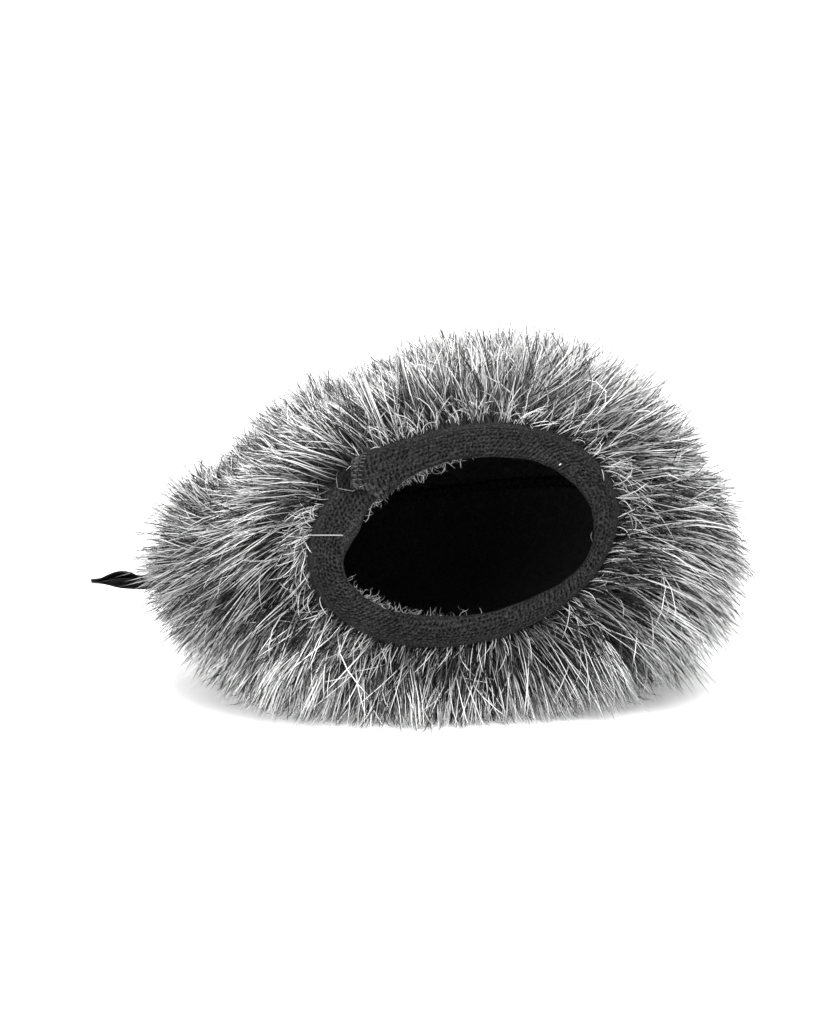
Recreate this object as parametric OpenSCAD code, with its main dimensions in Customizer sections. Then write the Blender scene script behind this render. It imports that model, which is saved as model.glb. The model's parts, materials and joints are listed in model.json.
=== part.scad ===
// Furry slip-on windscreen for a handheld recorder: a two-panel long-pile bag with a
// foam liner, an elastic-bound oval mouth and a folded ribbon tag in its side seam.
// It lies on its broad side. +Z is up, the mouth faces -Y and the closed end +Y.
// All sizes are in millimetres.

/* [Bag] */
// Half width of the bag fabric at its widest section
bag_half_w = 60; // [57:1:62]
// Half height of the bag fabric at its widest section
bag_half_h = 34; // [31:1:36]
// Depth from the mouth's fold to the closed end of the fabric
bag_depth = 105; // [98:1:115]
// Depth of the widest section behind the mouth
widest_y = 42; // [38:1:46]
// How far the bag has rolled on its long pile, in degrees
roll = 7; // [0:1:10]

/* [Mouth] */
// Half width of the oval line that the binding folds over
fold_half_w = 31.6; // [30:0.2:33]
// Half height of the oval line that the binding folds over
fold_half_h = 20.4; // [19:0.2:21]
// Height of the mouth's centre above the bag's own axis
mouth_lift = 8.5; // [4:0.5:10]
// How far the mouth turns beyond the bag's own roll, in degrees
mouth_twist = 5; // [0:1:7]
// Visible width of the folded elastic binding
binding_w = 8; // [7:0.5:9]
// Thickness of one leg of the elastic binding
binding_t = 0.9; // [0.7:0.1:1.1]

/* [Layers] */
// Thickness of the knitted backing that carries the pile
backing_t = 1.2; // [1:0.1:1.4]
// Thickness of the open-cell foam liner
foam_t = 4; // [3:0.5:5]
// Thickness of the free pile
pile_t = 16; // [14:1:18]
// Thickness that the pile keeps where the bag's weight rests on it
pile_pressed = 3; // [3:1:9]
// Width of the seam allowance inside the bag
allowance_w = 2.6; // [2:0.2:3]

/* [Ribbon tag] */
// Distance from the bag's axis to the tag's folded tip
tag_reach = 88; // [86:1:91]
// Width of the ribbon, measured along the seam
tag_w = 13; // [10:1:15]
// Depth of the tag's centre behind the mouth
tag_y = 52; // [48:1:56]
// Thickness of the satin ribbon
ribbon_t = 0.5; // [0.4:0.1:0.6]

/* [Hidden] */

LOWER = -1;
UPPER = 1;

layer_gap = 0.2;                   // air between neighbouring layers
seam_gap = 0.15;                   // each half stands this far off the seam plane
collar_tilt = 17.5;                // slope of the bound edge round the mouth, degrees
end_square = 0.7;                  // below 1 squares off the closed end across
end_blunt = 0.8;                   // below 1 flattens the closed end along Y
pile_start = 1.6;                  // pile thickness right beside the binding
pile_grow_angle = 62;              // meridian angle where the pile has its full length
pile_set_back = 0.4;               // from the binding's edge to the first of the pile
liner_set_back = 0.8;              // from the binding's edge to the foam liner

around = 24;                       // steps round each half
front_steps = 7;                   // steps from the binding to the widest section
back_steps = 9;                    // steps from the widest section to the closed end

slot_r = backing_t / 2 + layer_gap;             // half the room between the binding's legs
fold_r = slot_r + binding_t;                    // outer radius of the binding's fold
leg_end = binding_w - fold_r;                   // where the binding's legs end
edge_half_w = fold_half_w + leg_end * cos(collar_tilt);
edge_half_h = fold_half_h + leg_end * cos(collar_tilt);
edge_y = leg_end * sin(collar_tilt);

stitch_r = 0.22;                   // radius of every sewing thread
stitch_clear = 0.05;               // air under a stitch
stitch_fill = 0.72;                // share of the pitch that a stitch covers

// Half extent of an ellipse along one axis once it has rolled about the bag's axis
function rolled(other, along) = sqrt(pow(other * sin(roll), 2) + pow(along * cos(roll), 2));

// The bag's place: the mouth's fold is at depth 0, and the axis is body_z above the floor
pile_half_w = rolled(bag_half_h + pile_t, bag_half_w + pile_t);
tag_left = tag_reach * cos(roll);
lap_front = 2.7;                   // the lap's stitches stand this far in front of the fold
body_x = (tag_left - pile_half_w) / 2;
body_y = -(bag_depth + pile_t - lap_front) / 2;
body_z = rolled(bag_half_w, bag_half_h) + pile_pressed;

module in_place() {
    translate([body_x, body_y, body_z]) rotate([0, -roll, 0]) children();
}

// ---- The bag's surface ----

function smooth(t) = t * t * (3 - 2 * t);
function clamp01(t) = min(1, max(0, t));
function pile_share(angle) = smooth(clamp01((angle - collar_tilt) / (pile_grow_angle - collar_tilt)));

// Stations run from the mouth to the closed end. Each is
// [half width, half height, depth, meridian angle, share of the pile].
function collar(p) = [
    fold_half_w + p * cos(collar_tilt),
    fold_half_h + p * cos(collar_tilt),
    p * sin(collar_tilt),
    collar_tilt,
    0
];

function front(angle) =
    let (k = (sin(angle) - sin(collar_tilt)) / (1 - sin(collar_tilt)),
         m = 1 - cos(angle) / cos(collar_tilt))
    [
        edge_half_w + (bag_half_w - edge_half_w) * k,
        edge_half_h + (bag_half_h - edge_half_h) * k,
        edge_y + (widest_y - edge_y) * m,
        angle,
        pile_share(angle)
    ];

function back(angle) =
    let (k = pow(max(0, sin(angle)), end_square),
         m = pow(max(0, -cos(angle)), end_blunt))
    [bag_half_w * k, bag_half_h * k, widest_y + (bag_depth - widest_y) * m, angle, 1];

bag_stations = concat(
    [for (i = [1:front_steps]) front(collar_tilt + (90 - collar_tilt) * i / front_steps)],
    [for (i = [1:back_steps]) back(90 + 90 * i / back_steps)]
);
last = len(bag_stations) - 1;
liner_start = collar(leg_end + liner_set_back); // every layer has this station in common

// How much of the mouth's lift and twist is left at a depth
function mouth_share(depth) = 1 - smooth(clamp01(depth / widest_y));

// A point of the bag's own cross-section, lifted and turned as the mouth is
function set(x, depth, z) =
    let (share = mouth_share(depth), turn = mouth_twist * share)
    [x * cos(turn) - z * sin(turn), depth, mouth_lift * share + x * sin(turn) + z * cos(turn)];

// A point at distance d outside the fabric's face, at angle v round one half
function skin(station, v, d, side) =
    let (reach = d * sin(station[3]))
    set(
        (station[0] + reach) * cos(v),
        station[2] - d * cos(station[3]),
        side * (seam_gap + (station[1] + reach) * sin(v))
    );

// A point on the seam: across is 1 on the right and -1 on the left, z is the height
// above the seam plane
function on_seam(station, across, d, z) =
    set(across * (station[0] + d * sin(station[3])), station[2] - d * cos(station[3]), z);

// A closed shell between two grids of points. With tips, one outer and one inner
// point, the last row runs on to close there.
module shell(outer, inner, side, tips = []) {
    rows = len(outer);
    cols = len(outer[0]);
    half = rows * cols;
    tip = 2 * half;
    points = concat([for (row = outer) each row], [for (row = inner) each row], tips);
    function at(i, j) = i * cols + j;
    function quad(a, b, c, d) = [[a, b, c], [a, c, d]];
    skins = [for (i = [0:rows - 2]) for (j = [0:cols - 2]) each concat(
        quad(at(i, j), at(i, j + 1), at(i + 1, j + 1), at(i + 1, j)),
        quad(half + at(i, j), half + at(i + 1, j), half + at(i + 1, j + 1), half + at(i, j + 1))
    )];
    sides = [for (i = [0:rows - 2]) each concat(
        quad(at(i, 0), at(i + 1, 0), half + at(i + 1, 0), half + at(i, 0)),
        quad(at(i + 1, cols - 1), at(i, cols - 1), half + at(i, cols - 1), half + at(i + 1, cols - 1))
    )];
    rim = [for (j = [0:cols - 2]) each quad(at(0, j + 1), at(0, j), half + at(0, j), half + at(0, j + 1))];
    end = at(rows - 1, 0);
    closing = len(tips) == 0
        ? [for (j = [0:cols - 2])
            each quad(end + j, end + j + 1, half + end + j + 1, half + end + j)]
        : concat(
            [for (j = [0:cols - 2]) [end + j, end + j + 1, tip]],
            [for (j = [0:cols - 2]) [half + end + j + 1, half + end + j, tip + 1]],
            quad(end, tip, tip + 1, half + end),
            quad(tip, end + cols - 1, half + end + cols - 1, tip + 1)
        );
    faces = concat(skins, sides, rim, closing);
    polyhedron(points, side == UPPER ? faces : [for (f = faces) [f[2], f[1], f[0]]], convexity = 6);
}

// Half of a layer of the bag, between two distances from the fabric's face
module half_layer(stations, outer, inner, side) {
    rows = len(stations) - 1;
    shell(
        [for (i = [0:rows - 1]) [for (j = [0:around]) skin(stations[i], 180 * j / around, outer[i], side)]],
        [for (i = [0:rows - 1]) [for (j = [0:around]) skin(stations[i], 180 * j / around, inner[i], side)]],
        side,
        [
            on_seam(stations[rows], 0, outer[rows], side * seam_gap),
            on_seam(stations[rows], 0, inner[rows], side * seam_gap)
        ]
    );
}

// A round stitch between two points
module stitch(from, to) {
    run = to - from;
    length = norm(run);
    translate(from)
        rotate([0, acos(run[2] / length), atan2(run[1], run[0])])
            cylinder(h = length, r = stitch_r, $fn = 16);
}

// A stitch that covers the middle of the way between two points
module spaced_stitch(from, to) {
    trim = (1 - stitch_fill) / 2;
    stitch(from + (to - from) * trim, to - (to - from) * trim);
}

// ---- Ribbon tag ----

tag_buried = 7;                    // how deep in the pile the free loop starts
tag_flip_x = -(bag_half_w + pile_t - tag_buried);  // the line that the free loop bends about
tag_root_x = -(bag_half_w - backing_t - foam_t - allowance_w);
tag_leg_gap = 0.05;                // half the air between the two legs
tag_leg = tag_leg_gap + ribbon_t;
tag_bulge = 1.4;                   // how far each leg bows out
tag_skew = 0.9;                    // below 1 puts the widest place nearer the pile
tag_tip_r = 0.7;                   // outer radius of the fold at the tip
tag_steps = 14;

// Room for the ribbon between the two panels
module tag_passage() {
    beside = 1;
    over = 0.2;
    corner = [tag_flip_x - beside, tag_y - tag_w / 2 - beside, -tag_leg - over];
    length = tag_root_x - tag_flip_x + 2 * beside;
    translate(corner) cube([length, tag_w + 2 * beside, 2 * (tag_leg + over)]);
}

// Where the long pile parts round the free loop as it flips
module tag_parting() {
    beside = 1.5;
    length = 13.5;
    slope = 1.1;
    near = tag_flip_x + beside;
    far = near - length;
    half = tag_leg + slope * length;
    translate([0, tag_y + tag_w / 2 + beside, 0]) rotate([90, 0, 0])
        linear_extrude(tag_w + 2 * beside)
            polygon([[near, tag_leg], [near, -tag_leg], [far, -half], [far, half]]);
}

// Half thickness of the loop at a share t of its length, less the ribbon for its inside
function loop_half(t, inset) =
    tag_leg + (tag_tip_r - tag_leg) * t + tag_bulge * pow(sin(180 * pow(t, tag_skew)), 2) - inset;

module loop_outline(inset) {
    tip_x = -tag_reach + tag_tip_r;
    length = tag_flip_x - tip_x;
    upper = [for (i = [0:tag_steps]) [tag_flip_x - length * i / tag_steps, loop_half(i / tag_steps, inset)]];
    polygon(concat(upper, [for (i = [tag_steps:-1:0]) [upper[i][0], -upper[i][1]]]));
    translate([tip_x, 0]) circle(r = tag_tip_r - inset, $fn = 24);
}

module ribbon_tag() {
    color([0.05, 0.05, 0.055]) in_place()
        translate([0, tag_y + tag_w / 2, 0]) rotate([90, 0, 0]) linear_extrude(tag_w)
            difference() {
                loop_outline(0);
                loop_outline(ribbon_t);
            }
}

module ribbon_tag_root() {
    flip_clear = 0.7;
    length = tag_root_x - tag_flip_x - flip_clear;
    color([0.05, 0.05, 0.055]) in_place()
        for (z = [tag_leg_gap, -tag_leg])
            translate([tag_flip_x + flip_clear, tag_y - tag_w / 2, z]) cube([length, tag_w, ribbon_t]);
}

// ---- Fur fabric ----

module fur_pile(side) {
    stations = concat([collar(leg_end + pile_set_back), liner_start], bag_stations);
    room = 4 * (bag_half_w + pile_t);
    intersection() {
        in_place() difference() {
            half_layer(
                stations,
                [for (s = stations) pile_start + (pile_t - pile_start) * s[4]],
                [for (s = stations) layer_gap],
                side
            );
            tag_passage();
            tag_parting();
        }
        // The pile that the bag rests on is pressed flat on the floor
        translate([-room / 2, -room / 2, 0]) cube(room);
    }
}

module fur_pile_lower() {
    color([0.36, 0.36, 0.37]) fur_pile(LOWER);
}

module fur_pile_upper() {
    color([0.4, 0.4, 0.41]) fur_pile(UPPER);
}

module fur_backing(side) {
    stations = concat([for (p = [0.6, leg_end / 2, leg_end]) collar(p)], [liner_start], bag_stations);
    color([0.07, 0.07, 0.075]) in_place() difference() {
        half_layer(
            stations,
            [for (s = stations) 0],
            [for (s = stations) -backing_t],
            side
        );
        tag_passage();
    }
}

module fur_backing_lower() {
    fur_backing(LOWER);
}

module fur_backing_upper() {
    fur_backing(UPPER);
}

// ---- Foam liner ----

liner_face = -backing_t - layer_gap;
liner_inside = liner_face - foam_t;

module foam_liner(side) {
    stations = concat([liner_start], bag_stations);
    color([0.03, 0.03, 0.03]) in_place() difference() {
        half_layer(
            stations,
            [for (s = stations) liner_face],
            [for (i = [0:len(stations) - 1]) i == 0 ? liner_face - foam_t / 2 : liner_inside],
            side
        );
        tag_passage();
    }
}

module foam_liner_lower() {
    foam_liner(LOWER);
}

module foam_liner_upper() {
    foam_liner(UPPER);
}

// ---- Seam down both sides and round the closed end ----

allowance_t = 1;                   // thickness of one panel's turned-in edge
allowance_from = 2;                // first station that the allowance reaches

// The seam's stations in order, each with the side that it is on
seam_run = concat(
    [for (i = [allowance_from:last]) [bag_stations[i], 1]],
    [for (i = [last - 1:-1:allowance_from]) [bag_stations[i], -1]]
);

function seam_row(at, z) = [
    on_seam(at[0], at[1], liner_inside - layer_gap, z),
    on_seam(at[0], at[1], liner_inside - layer_gap - allowance_w, z)
];

module seam_allowance(side) {
    near = side * seam_gap;
    far = side * (seam_gap + allowance_t);
    color([0.06, 0.06, 0.065]) in_place() difference() {
        shell([for (at = seam_run) seam_row(at, near)], [for (at = seam_run) seam_row(at, far)], side);
        tag_passage();
    }
}

module seam_allowance_lower() {
    seam_allowance(LOWER);
}

module seam_allowance_upper() {
    seam_allowance(UPPER);
}

seam_stitches = 3;                 // stitches between two stations

// One lockstitch thread, on its own face of the allowance
module seam_thread(side) {
    z = side * (seam_gap + allowance_t + stitch_clear + stitch_r);
    d = liner_inside - layer_gap - allowance_w / 2;
    color([0.1, 0.1, 0.1]) in_place()
        for (i = [1:len(seam_run) - 1]) {
            from = on_seam(seam_run[i - 1][0], seam_run[i - 1][1], d, z);
            to = on_seam(seam_run[i][0], seam_run[i][1], d, z);
            pitch = (to - from) / seam_stitches;
            for (k = [0:seam_stitches - 1])
                spaced_stitch(from + pitch * k, from + pitch * (k + 1));
        }
}

module seam_bobbin_thread() {
    seam_thread(LOWER);
}

module seam_needle_thread() {
    seam_thread(UPPER);
}

// ---- Elastic binding ----

// The outline of the tape, folded over the raw edge at radius r: outer leg, fold and
// inner leg, as [distance along the collar, distance from the fabric's face]
function folded(r, length) =
    let (middle = -backing_t / 2)
    concat(
        [[length, middle + r], [length / 2, middle + r]],
        [for (a = [90:30:270]) [r * cos(a), middle + r * sin(a)]],
        [[length / 2, middle - r], [length, middle - r]]
    );

module folded_tape(outer_r, inner_r, length, angles, side) {
    shell(
        [for (q = folded(outer_r, length)) [for (v = angles) skin(collar(q[0]), v, q[1], side)]],
        [for (q = folded(inner_r, length)) [for (v = angles) skin(collar(q[0]), v, q[1], side)]],
        side
    );
}

module elastic_binding(side) {
    color([0.17, 0.17, 0.18]) in_place()
        folded_tape(fold_r, slot_r, leg_end, [for (j = [0:around]) 180 * j / around], side);
}

module elastic_binding_lower() {
    elastic_binding(LOWER);
}

module elastic_binding_upper() {
    elastic_binding(UPPER);
}

// A row of stitches through both legs, near the binding's outer edge
module binding_stitches(side) {
    from_edge = 1.3;
    at = collar(leg_end - from_edge);
    height = binding_t + slot_r + stitch_clear + stitch_r;
    step = 180 / around / 2;
    color([0.08, 0.08, 0.08]) in_place()
        for (face = [1, -1])
            for (v = [0:step:180 - step])
                spaced_stitch(
                    skin(at, v, face * height - backing_t / 2, side),
                    skin(at, v + step, face * height - backing_t / 2, side)
                );
}

module binding_stitches_lower() {
    binding_stitches(LOWER);
}

module binding_stitches_upper() {
    binding_stitches(UPPER);
}

// The tape's second end, turned over the first at the upper left, between these angles
lap_from = 112;
lap_to = 127;
lap_lift = 2 * (stitch_r + stitch_clear) + 0.05;   // clear of the stitches under it
lap_r = fold_r + lap_lift;

module binding_end_lap() {
    trim = 0.2;
    angles = [lap_from, (lap_from + lap_to) / 2, lap_to];
    color([0.2, 0.2, 0.21]) in_place()
        folded_tape(lap_r + binding_t, lap_r, leg_end - trim, angles, UPPER);
}

// The short row of stitches that holds the lap down
module lap_bartack() {
    rows = 6;
    from_edge = 0.6;
    starts = lap_to - 5;
    ends = lap_to - 1;
    height = lap_r + binding_t + stitch_clear + stitch_r - backing_t / 2;
    color([0.3, 0.3, 0.3]) in_place()
        for (i = [1:rows]) {
            at = collar((leg_end - from_edge) * i / rows);
            spaced_stitch(skin(at, starts, height, UPPER), skin(at, ends, height, UPPER));
        }
}

fur_pile_lower();
fur_pile_upper();
fur_backing_lower();
fur_backing_upper();
foam_liner_lower();
foam_liner_upper();
seam_allowance_lower();
seam_allowance_upper();
seam_bobbin_thread();
seam_needle_thread();
elastic_binding_lower();
elastic_binding_upper();
binding_stitches_lower();
binding_stitches_upper();
binding_end_lap();
lap_bartack();
ribbon_tag_root();
ribbon_tag();
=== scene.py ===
"""A furry slip-on windscreen, lying on its broad side with its mouth to the viewer.

The pile is real fibres on two knitted panels. The mouth's elastic binding, its lap and stitches,
the foam liner, the inside seam and the ribbon tag are each a piece of their own, made in mesh code
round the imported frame. Lengths are in millimetres until a mesh is made, and in metres after that.
Angles round the bag, v, start at the right of the mouth and pass over the top. s is the distance
along the fabric from the mouth's fold to the closed end.
"""

import json
import math

import bmesh
import bpy
import numpy as np
from mathutils import Matrix, Vector
from mathutils.kdtree import KDTree


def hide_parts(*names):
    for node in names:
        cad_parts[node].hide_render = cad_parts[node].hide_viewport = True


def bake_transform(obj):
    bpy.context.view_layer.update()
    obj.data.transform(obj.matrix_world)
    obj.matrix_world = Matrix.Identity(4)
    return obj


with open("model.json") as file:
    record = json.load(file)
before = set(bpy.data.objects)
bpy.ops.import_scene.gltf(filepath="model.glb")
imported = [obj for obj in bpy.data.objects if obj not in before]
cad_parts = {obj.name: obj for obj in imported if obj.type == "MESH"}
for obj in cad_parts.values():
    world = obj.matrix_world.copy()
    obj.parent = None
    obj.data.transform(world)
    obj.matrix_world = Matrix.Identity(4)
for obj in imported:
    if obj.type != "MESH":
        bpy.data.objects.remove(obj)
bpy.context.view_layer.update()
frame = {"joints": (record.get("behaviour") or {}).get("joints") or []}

MM = 0.001
TAU = 2 * math.pi

# ---- Driving sizes, as in the CAD model ----

BAG_HALF_W = 60.0
BAG_HALF_H = 34.0
BAG_DEPTH = 105.0
WIDEST_Y = 42.0
FOLD_HALF_W = 31.6
FOLD_HALF_H = 20.4
MOUTH_LIFT = 8.5
MOUTH_TWIST = math.radians(5)
COLLAR_TILT = math.radians(17.5)
END_SQUARE = 0.7
END_BLUNT = 0.8
BINDING_W = 8.0
BINDING_T = 0.9
BACKING_T = 1.2
FOAM_T = 4.0
LAYER_GAP = 0.2
ALLOWANCE_W = 2.6
PILE_T = 16.0
TAG_REACH = 88.0
TAG_W = 13.0
TAG_Y = 52.0

SLOT_R = BACKING_T / 2 + LAYER_GAP
FOLD_R = SLOT_R + BINDING_T
LEG_END = BINDING_W - FOLD_R
LINER_FACE = -BACKING_T - LAYER_GAP
LINER_INSIDE = LINER_FACE - FOAM_T
TAG_FLIP_X = -(BAG_HALF_W + PILE_T - 7)
TAG_ROOT_X = -(BAG_HALF_W - BACKING_T - FOAM_T - ALLOWANCE_W)

# The bag's place comes from the frame: the mouth's hinge lies behind the closed end
stretch = next(j for j in frame["joints"] if j["name"] == "mouth_stretch")
ROLL = math.atan2(-stretch["axis"][2], -stretch["axis"][0])
BODY_X, BODY_Y, BODY_Z = (value / MM for value in stretch["pos_m"])
BODY_Y -= BAG_DEPTH + PILE_T + 1

rng = np.random.default_rng(83)


def smooth(t):
    t = np.clip(t, 0, 1)
    return t * t * (3 - 2 * t)


def unit(a):
    return a / np.maximum(np.linalg.norm(a, axis=-1, keepdims=True), 1e-9)


def place(x, y, z):
    """Points of the bag's own frame, in the row's frame."""
    cos, sin = math.cos(ROLL), math.sin(ROLL)
    return np.stack(
        np.broadcast_arrays(BODY_X + x * cos - z * sin, BODY_Y + y, BODY_Z + x * sin + z * cos),
        -1,
    )


def meridian():
    """Rows of arc length from the fold, half width, half height, depth and meridian angle."""
    tilt = COLLAR_TILT
    p = np.linspace(-4, LEG_END, 24, endpoint=False)
    collar = [
        FOLD_HALF_W + p * math.cos(tilt),
        FOLD_HALF_H + p * math.cos(tilt),
        p * math.sin(tilt),
    ]
    edge_w = FOLD_HALF_W + LEG_END * math.cos(tilt)
    edge_h = FOLD_HALF_H + LEG_END * math.cos(tilt)
    edge_y = LEG_END * math.sin(tilt)

    a = np.linspace(tilt, math.pi / 2, 90, endpoint=False)
    k = (np.sin(a) - math.sin(tilt)) / (1 - math.sin(tilt))
    m = 1 - np.cos(a) / math.cos(tilt)
    front = [
        edge_w + (BAG_HALF_W - edge_w) * k,
        edge_h + (BAG_HALF_H - edge_h) * k,
        edge_y + (WIDEST_Y - edge_y) * m,
    ]
    b = np.linspace(math.pi / 2, math.pi, 200)
    k = np.maximum(np.sin(b), 0) ** END_SQUARE
    m = np.maximum(-np.cos(b), 0) ** END_BLUNT
    back = [BAG_HALF_W * k, BAG_HALF_H * k, WIDEST_Y + (BAG_DEPTH - WIDEST_Y) * m]

    rows = np.concatenate([collar, front, back], axis=1)
    angle = np.concatenate([np.full(len(p), tilt), a, b])
    step = np.hypot(np.diff((rows[0] + rows[1]) / 2), np.diff(rows[2]))
    arc = np.concatenate([[0], np.cumsum(step)]) - 4
    return np.concatenate([[arc], rows, [angle]])


MERIDIAN = meridian()
END_S = MERIDIAN[0, -1]
BAG_UP = place(0.0, 0.0, 1.0) - place(0.0, 0.0, 0.0)


def in_own_frame(points, lift=0.0):
    """Points of the row's frame, in the bag's own frame, measured from lift above its axis."""
    offset = points - place(0.0, 0.0, lift)
    x = offset[..., 0] * math.cos(ROLL) + offset[..., 2] * math.sin(ROLL)
    z = offset[..., 2] * math.cos(ROLL) - offset[..., 0] * math.sin(ROLL)
    return x, offset[..., 1], z


def surface(s, v, d=0.0):
    """Points d outside the fabric's face, s along it from the mouth's fold, at angle v round it."""
    w, h, depth, a = (np.interp(s, MERIDIAN[0], row) for row in MERIDIAN[1:])
    x = (w + d * np.sin(a)) * np.cos(v)
    z = (h + d * np.sin(a)) * np.sin(v)
    y = depth - d * np.cos(a)
    share = 1 - smooth(y / WIDEST_Y)
    turn = MOUTH_TWIST * share
    return place(
        x * np.cos(turn) - z * np.sin(turn),
        y,
        MOUTH_LIFT * share + x * np.sin(turn) + z * np.cos(turn),
    )


def axes_at(s, v):
    """The surface's point, outward normal and tangent towards the closed end."""
    step = 0.3
    along = unit(surface(s + step, v) - surface(s - step, v))
    across = surface(s, v + 0.01) - surface(s, v - 0.01)
    return surface(s, v), unit(np.cross(along, across)), along


# ---- Mesh making ----


def make_mesh(name, points, starts, totals, corners):
    """A smooth mesh object from points in mm and flat lists of its faces."""
    mesh = bpy.data.meshes.new(name)
    mesh.vertices.add(len(points))
    mesh.vertices.foreach_set("co", (points * MM).astype(np.float32).ravel())
    mesh.loops.add(len(corners))
    mesh.loops.foreach_set("vertex_index", corners.astype(np.int32))
    mesh.polygons.add(len(starts))
    mesh.polygons.foreach_set("loop_start", starts.astype(np.int32))
    mesh.polygons.foreach_set("loop_total", totals.astype(np.int32))
    mesh.update(calc_edges=True)
    mesh.validate()
    mesh.shade_smooth()
    obj = bpy.data.objects.new(name, mesh)
    bpy.context.scene.collection.objects.link(obj)
    return obj


def paint(obj, name, values):
    """A colour attribute from one value or one colour per point."""
    values = np.asarray(values, float)
    if values.ndim == 1:
        values = np.repeat(values[:, None], 3, axis=1)
    colour = np.concatenate([values, np.ones((len(values), 1))], axis=1)
    attribute = obj.data.color_attributes.new(name, "FLOAT_COLOR", "POINT")
    attribute.data.foreach_set("color", colour.astype(np.float32).ravel())


def grid_mesh(name, grid, wrap_rows=False, wrap_cols=False, flip=False):
    """A mesh of quads over a grid of points, closed on itself where it wraps."""
    rows, cols = grid.shape[:2]
    i = np.arange(rows if wrap_rows else rows - 1)[:, None]
    j = np.arange(cols if wrap_cols else cols - 1)[None]
    i2, j2 = (i + 1) % rows, (j + 1) % cols
    quads = np.stack(
        np.broadcast_arrays(i * cols + j, i * cols + j2, i2 * cols + j2, i2 * cols + j), -1
    ).reshape(-1, 4)
    if flip:
        quads = quads[:, ::-1]
    count = len(quads)
    return make_mesh(
        name, grid.reshape(-1, 3), np.arange(count) * 4, np.full(count, 4), quads.ravel()
    )


def tube_mesh(name, paths, radii, sides=3, pointed=False, cells=None):
    """Many closed tubes in one mesh. paths is (tubes, points, 3), and radii fit its first two axes.
    Pointed tubes end in one point. With cells, each tube has its own cell of a square UV map."""
    tubes, length = paths.shape[:2]
    radii = np.broadcast_to(radii, (tubes, length))
    tangent = unit(np.gradient(paths, axis=1))
    lead = unit(np.cross(tangent[:, 0], [0.31, 0.52, 0.79]))[:, None]
    u = unit(lead - (lead * tangent).sum(-1, keepdims=True) * tangent)
    w = np.cross(tangent, u)
    turn = np.arange(sides) * TAU / sides
    rings = paths[:, :, None] + radii[..., None, None] * (
        u[:, :, None] * np.cos(turn)[:, None] + w[:, :, None] * np.sin(turn)[:, None]
    )
    last = length - 1
    if pointed:
        own = np.concatenate([rings[:, :last].reshape(tubes, -1, 3), paths[:, last:]], axis=1)
    else:
        own = rings.reshape(tubes, -1, 3)
    per_tube = own.shape[1]

    faces, uvs = [], []
    for k in range(last - 1 if pointed else last):
        for j in range(sides):
            j2 = (j + 1) % sides
            faces.append([k * sides + j, k * sides + j2, (k + 1) * sides + j2, (k + 1) * sides + j])
            uvs.append([(j, k), (j + 1, k), (j + 1, k + 1), (j, k + 1)])
    if pointed:
        base = (last - 1) * sides
        for j in range(sides):
            faces.append([base + j, base + (j + 1) % sides, last * sides])
            uvs.append([(j, last - 1), (j + 1, last - 1), (j + 0.5, last)])
    else:
        faces.append([last * sides + j for j in range(sides)])
        uvs.append([(j, last - 0.2 * (j % 2)) for j in range(sides)])
    faces.append([sides - 1 - j for j in range(sides)])
    uvs.append([(j, 0.2 * (j % 2)) for j in range(sides)])

    totals = np.array([len(f) for f in faces])
    corners = np.concatenate(faces)
    starts = np.concatenate([[0], np.cumsum(totals)[:-1]])
    offset = np.arange(tubes)[:, None]
    obj = make_mesh(
        name,
        own.reshape(-1, 3),
        (starts[None] + offset * len(corners)).ravel(),
        np.tile(totals, tubes),
        (corners[None] + offset * per_tube).ravel(),
    )
    if cells:
        inset = 0.12
        local = np.concatenate([np.array(c, float) for c in uvs]) / [sides, last]
        local = inset + local * (1 - 2 * inset)
        corner = np.stack([np.arange(tubes) % cells, np.arange(tubes) // cells], -1)
        uv = (corner[:, None] + local[None]) / cells
        layer = obj.data.uv_layers.new(name="OFBake")
        layer.data.foreach_set("uv", uv.astype(np.float32).ravel())
    return obj


# ---- Materials ----


class Shader:
    """A Principled material, and short calls to add its nodes."""

    def __init__(self, name, **sockets):
        self.material = bpy.data.materials.new(name)
        self.material.use_nodes = True
        self.tree = self.material.node_tree
        self.surface = self.tree.nodes["Principled BSDF"]
        for key, value in sockets.items():
            self.surface.inputs[key.replace("_", " ").capitalize()].default_value = value

    def node(self, kind, **settings):
        node = self.tree.nodes.new(kind)
        for key, value in settings.items():
            if hasattr(node, key):
                setattr(node, key, value)
            else:
                node.inputs[key.replace("_", " ").capitalize()].default_value = value
        return node

    def link(self, start, end):
        self.tree.links.new(start, end)

    def noise(self, scale, detail=2.0):
        node = self.node("ShaderNodeTexNoise", scale=scale, detail=detail)
        where = self.node("ShaderNodeTexCoord")
        self.link(where.outputs["Object"], node.inputs["Vector"])
        return node.outputs["Fac"]

    def ramp(self, factor, stops):
        node = self.node("ShaderNodeValToRGB")
        elements = node.color_ramp.elements
        while len(elements) < len(stops):
            elements.new(0.5)
        for element, (position, colour) in zip(elements, stops):
            element.position = position
            element.color = (*colour, 1)
        self.link(factor, node.inputs["Fac"])
        return node.outputs["Color"]

    def mix(self, blend, factor, a, b):
        node = self.node("ShaderNodeMix", data_type="RGBA", blend_type=blend)
        node.inputs["Factor"].default_value = factor
        self.link(a, node.inputs["A"])
        self.link(b, node.inputs["B"])
        return node.outputs["Result"]

    def bump(self, height, distance, strength=1.0):
        node = self.node("ShaderNodeBump", distance=distance, strength=strength)
        self.link(height, node.inputs["Height"])
        self.link(node.outputs["Normal"], self.surface.inputs["Normal"])

    def attribute(self, name):
        return self.node("ShaderNodeAttribute", attribute_name=name).outputs["Color"]


def grey(value):
    return (value, value, value)


def fibre_material():
    shader = Shader("acrylic_pile", roughness=0.45)
    shader.surface.inputs["Specular IOR Level"].default_value = 0.2
    shader.link(shader.attribute("fibre"), shader.surface.inputs["Base Color"])
    return shader.material


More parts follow.
